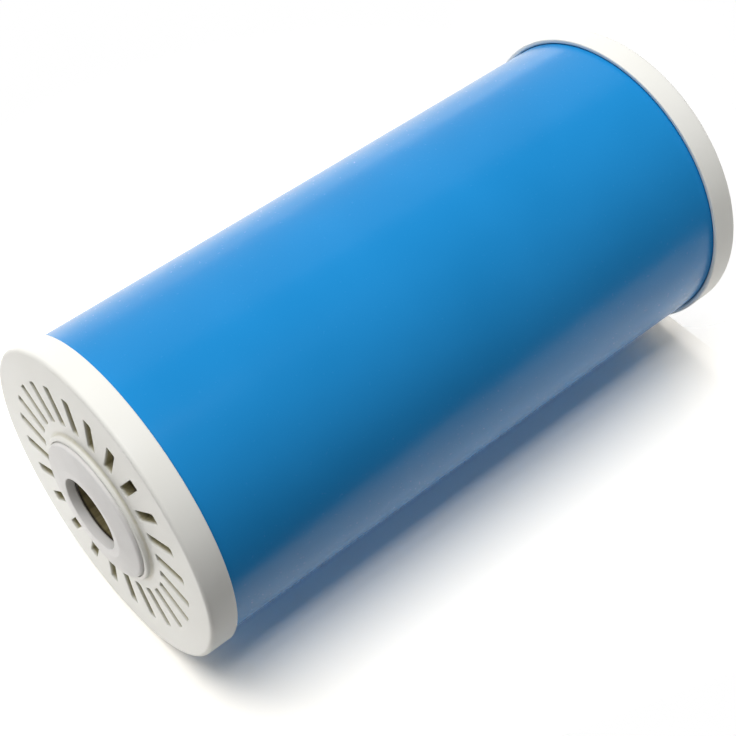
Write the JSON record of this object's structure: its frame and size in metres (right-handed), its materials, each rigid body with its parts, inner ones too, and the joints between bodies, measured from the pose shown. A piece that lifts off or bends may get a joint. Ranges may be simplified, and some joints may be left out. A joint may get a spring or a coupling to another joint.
{
  "type": "granular carbon filter cartridge",
  "caption": "Round water filter cartridge: blue tube, white end caps, radial inlet slots round one cap, centre socket and port, and ring gaskets that seal both ends.",
  "frame": {"origin": "centre of the outlet gasket's lower face, on which the cartridge stands", "axes": "+Z along the cartridge's axis, from the outlet end to the slotted inlet end; +X through the middle of one slot"},
  "size_m": [0.117, 0.117, 0.248],
  "materials": {
    "blue_casing": "satin blue extruded plastic",
    "white_cap": "warm white moulded plastic",
    "grey_gasket": "pale grey soft sealing rubber",
    "felt": "needled polyester felt",
    "foam": "open cell foam",
    "strainer_plastic": "plain white plastic",
    "carbon": "dull black carbon granules"
  },
  "bodies": {
    "root": {"casing_tube": "blue_casing", "inlet_cap": "white_cap", "outlet_cap": "white_cap", "inlet_gasket": "grey_gasket", "outlet_gasket": "grey_gasket", "inlet_felt": "felt", "post_filter": "felt", "expansion_pad": "foam", "outlet_strainer": "strainer_plastic", "carbon_bed": "carbon"}
  },
  "joints": []
}
